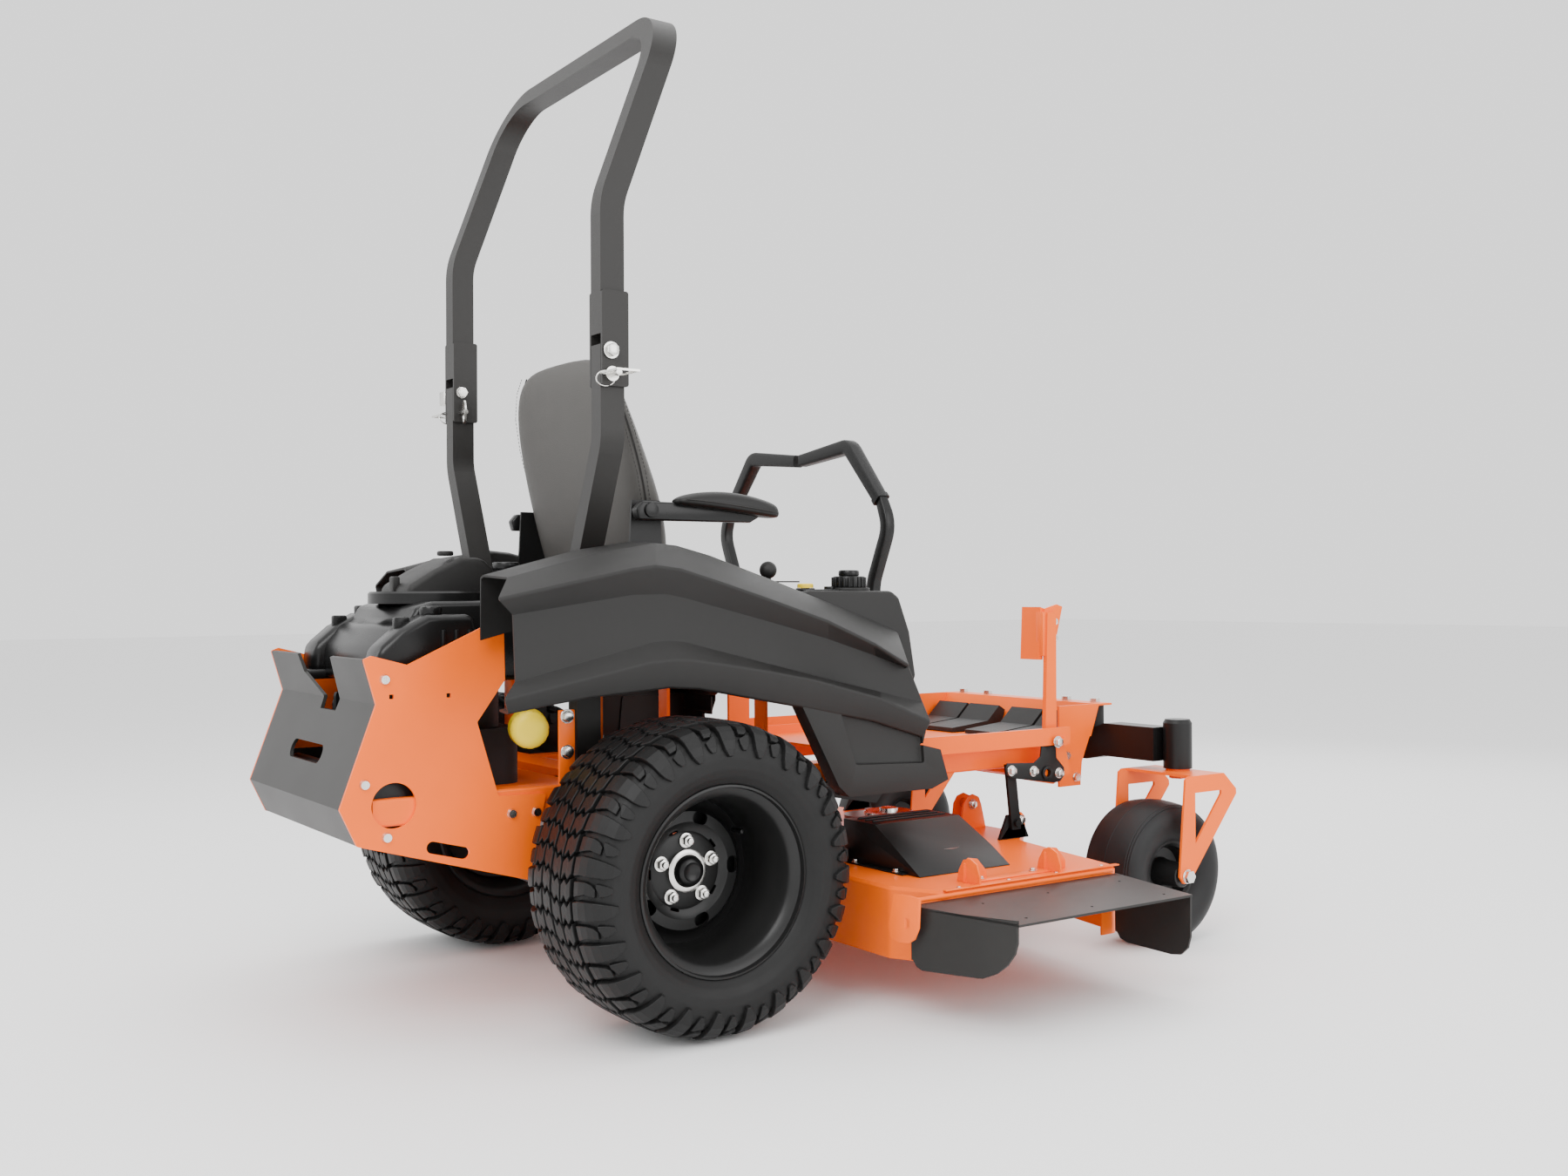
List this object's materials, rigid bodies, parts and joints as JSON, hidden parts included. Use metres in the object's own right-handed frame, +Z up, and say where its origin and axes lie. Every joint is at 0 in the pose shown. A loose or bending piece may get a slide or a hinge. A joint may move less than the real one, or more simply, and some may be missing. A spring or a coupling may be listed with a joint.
{
  "type": "zero turn mower",
  "caption": "Rear-engined ride-on mower steered by twin lap levers, with a folding roll bar, swivelling front casters and a side-discharge deck.",
  "frame": {"origin": "on the ground under the middle of the whole machine's box", "axes": "+X forward in the direction of travel, +Y to the operator's left, +Z up"},
  "size_m": [2.011, 1.612, 1.9689],
  "materials": {
    "orange_paint": "satin powder coat",
    "dark_paint": "satin powder coat",
    "black_paint": "semi-gloss powder coat",
    "rim_paint": "satin",
    "black_plastic": "fine moulded texture",
    "grip_plastic": "moulded grip",
    "seat_leather": "grained upholstery",
    "tyre_rubber": "tyre rubber",
    "mount_rubber": "rubber",
    "zinc": "zinc plated",
    "engine_alloy": "cast",
    "drive_alloy": "cast",
    "filter_paint": "gloss",
    "yellow_plastic": "gloss",
    "blade_steel": "satin"
  },
  "bodies": {
    "chassis": {"left_frame_rail": "orange_paint", "right_frame_rail": "orange_paint", "frame_cross_members": "orange_paint", "left_side_plate": "orange_paint", "right_side_plate": "orange_paint", "rear_bumper": "dark_paint", "chassis_bolts": "zinc", "foot_well": "orange_paint", "foot_rests": "black_plastic", "front_axle_beam": "black_paint", "axle_isolators": "mount_rubber", "left_fender": "black_plastic", "right_fender": "black_plastic", "rops_legs": "dark_paint", "engine_block": "engine_alloy", "blower_housing": "black_plastic", "air_cleaner": "black_plastic", "muffler": "black_paint", "oil_filter": "filter_paint", "hydro_drives": "drive_alloy", "fuel_caps": "black_plastic"},
    "left_drive_wheel": {"left_drive_tyre": "tyre_rubber", "left_drive_rim": "rim_paint", "left_wheel_nuts": "zinc"},
    "left_caster": {"left_caster_fork": "orange_paint", "left_caster_axle": "zinc"},
    "left_caster_wheel": {"left_caster_tyre": "tyre_rubber", "left_caster_hub": "rim_paint"},
    "left_lever_base": {"left_lever_pivot": "black_paint"},
    "left_lever": {"left_lever_arm": "black_paint", "left_lever_grip": "grip_plastic"},
    "right_drive_wheel": {"right_drive_tyre": "tyre_rubber", "right_drive_rim": "rim_paint", "right_wheel_nuts": "zinc"},
    "right_caster": {"right_caster_fork": "orange_paint", "right_caster_axle": "zinc"},
    "right_caster_wheel": {"right_caster_tyre": "tyre_rubber", "right_caster_hub": "rim_paint"},
    "right_lever_base": {"right_lever_pivot": "black_paint"},
    "right_lever": {"right_lever_arm": "black_paint", "right_lever_grip": "grip_plastic"},
    "rops_hoop_assembly": {"rops_hoop": "dark_paint", "rops_pins": "zinc"},
    "seat": {"seat_base": "black_paint", "seat_cushion": "seat_leather", "seat_back": "seat_leather"},
    "left_armrest_body": {"left_armrest": "black_plastic"},
    "right_armrest_body": {"right_armrest": "black_plastic"},
    "deck": {"deck_shell": "orange_paint", "belt_covers": "black_paint", "deck_hangers": "black_paint"},
    "chute": {"discharge_chute": "dark_paint"},
    "centre_blade_body": {"centre_blade": "blade_steel"},
    "left_blade_body": {"left_blade": "blade_steel"},
    "right_blade_body": {"right_blade": "blade_steel"},
    "lift_pedal": {"lift_pedal_shaft": "orange_paint"},
    "rear_lift": {"rear_lift_shaft": "black_paint"},
    "lift_link_body": {"lift_link": "orange_paint"},
    "brake": {"brake_lever": "black_plastic"},
    "pto": {"pto_switch": "yellow_plastic"}
  },
  "joints": [
    {"name": "left_drive_wheel_spin", "type": "hinge", "parent": "chassis", "child": "left_drive_wheel", "pos_m": [-0.3875, 0.5795, 0.292], "axis": [0, 1, 0], "continuous": true},
    {"name": "left_caster_swivel", "type": "hinge", "parent": "chassis", "child": "left_caster", "pos_m": [0.9355, 0.5975, 0.44], "axis": [0, 0, 1], "continuous": true},
    {"name": "left_caster_wheel_spin", "type": "hinge", "parent": "left_caster", "child": "left_caster_wheel", "pos_m": [0.8455, 0.5975, 0.164], "axis": [0, 1, 0], "continuous": true},
    {"name": "left_lever_drive", "type": "hinge", "parent": "chassis", "child": "left_lever_base", "pos_m": [0.1905, 0.3875, 0.6], "axis": [0, 1, 0], "range_deg": [-12, 18]},
    {"name": "left_lever_swing", "type": "hinge", "parent": "left_lever_base", "child": "left_lever", "pos_m": [0.1905, 0.3875, 0.794], "axis": [-1, 0, 0], "range_deg": [0, 25]},
    {"name": "right_drive_wheel_spin", "type": "hinge", "parent": "chassis", "child": "right_drive_wheel", "pos_m": [-0.3875, -0.3645, 0.292], "axis": [0, 1, 0], "continuous": true},
    {"name": "right_caster_swivel", "type": "hinge", "parent": "chassis", "child": "right_caster", "pos_m": [0.9355, -0.3825, 0.44], "axis": [0, 0, 1], "continuous": true},
    {"name": "right_caster_wheel_spin", "type": "hinge", "parent": "right_caster", "child": "right_caster_wheel", "pos_m": [0.8455, -0.3825, 0.164], "axis": [0, 1, 0], "continuous": true},
    {"name": "right_lever_drive", "type": "hinge", "parent": "chassis", "child": "right_lever_base", "pos_m": [0.1905, -0.1725, 0.6], "axis": [0, 1, 0], "range_deg": [-12, 18]},
    {"name": "right_lever_swing", "type": "hinge", "parent": "right_lever_base", "child": "right_lever", "pos_m": [0.1905, -0.1725, 0.794], "axis": [1, 0, 0], "range_deg": [0, 25]},
    {"name": "rops_fold", "type": "hinge", "parent": "chassis", "child": "rops_hoop_assembly", "pos_m": [-0.5115, 0.1075, 1.276], "axis": [0, -1, 0], "range_deg": [0, 110]},
    {"name": "seat_slide", "type": "slide", "parent": "chassis", "child": "seat", "axis": [1, 0, 0], "range_m": [-0.03, 0.07]},
    {"name": "left_armrest_fold", "type": "hinge", "parent": "seat", "child": "left_armrest_body", "pos_m": [-0.3815, 0.4075, 0.982], "axis": [0, -1, 0], "range_deg": [0, 85]},
    {"name": "right_armrest_fold", "type": "hinge", "parent": "seat", "child": "right_armrest_body", "pos_m": [-0.3815, -0.1925, 0.982], "axis": [0, -1, 0], "range_deg": [0, 85]},
    {"name": "deck_lift", "type": "slide", "parent": "chassis", "child": "deck", "axis": [0, 0, 1], "range_m": [-0.075, 0]},
    {"name": "chute_raise", "type": "hinge", "parent": "deck", "child": "chute", "pos_m": [0.2725, -0.5965, 0.228], "axis": [-1, 0, 0], "range_deg": [0, 85]},
    {"name": "centre_blade_spin", "type": "hinge", "parent": "deck", "child": "centre_blade_body", "pos_m": [0.3925, 0.1075, 0.2], "axis": [0, 0, 1], "continuous": true},
    {"name": "left_blade_spin", "type": "hinge", "parent": "deck", "child": "left_blade_body", "pos_m": [0.2275, 0.5425, 0.2], "axis": [0, 0, 1], "continuous": true},
    {"name": "right_blade_spin", "type": "hinge", "parent": "deck", "child": "right_blade_body", "pos_m": [0.2275, -0.3275, 0.2], "axis": [0, 0, 1], "continuous": true},
    {"name": "lift_pedal_turn", "type": "hinge", "parent": "chassis", "child": "lift_pedal", "pos_m": [0.6775, 0.1075, 0.385], "axis": [0, -1, 0], "range_deg": [0, 38]},
    {"name": "rear_lift_turn", "type": "hinge", "parent": "chassis", "child": "rear_lift", "pos_m": [0.1525, 0.1075, 0.385], "axis": [0, -1, 0], "range_deg": [0, 38]},
    {"name": "lift_link_slide", "type": "slide", "parent": "chassis", "child": "lift_link_body", "axis": [1, 0, 0], "range_m": [-0.052, 0]},
    {"name": "brake_lever_turn", "type": "hinge", "parent": "chassis", "child": "brake", "pos_m": [-0.1235, -0.2275, 0.84], "axis": [0, 1, 0], "range_deg": [0, 25]},
    {"name": "pto_switch_pull", "type": "slide", "parent": "chassis", "child": "pto", "axis": [0, 0, 1], "range_m": [0, 0.008]}
  ],
  "couplings": [
    {"joint": "left_blade_spin", "follows": "centre_blade_spin", "ratio": 1},
    {"joint": "right_blade_spin", "follows": "centre_blade_spin", "ratio": 1},
    {"joint": "lift_pedal_turn", "follows": "deck_lift", "rad_per_m": -8.55},
    {"joint": "rear_lift_turn", "follows": "deck_lift", "rad_per_m": -8.55},
    {"joint": "lift_link_slide", "follows": "deck_lift", "ratio": 0.672}
  ]
}
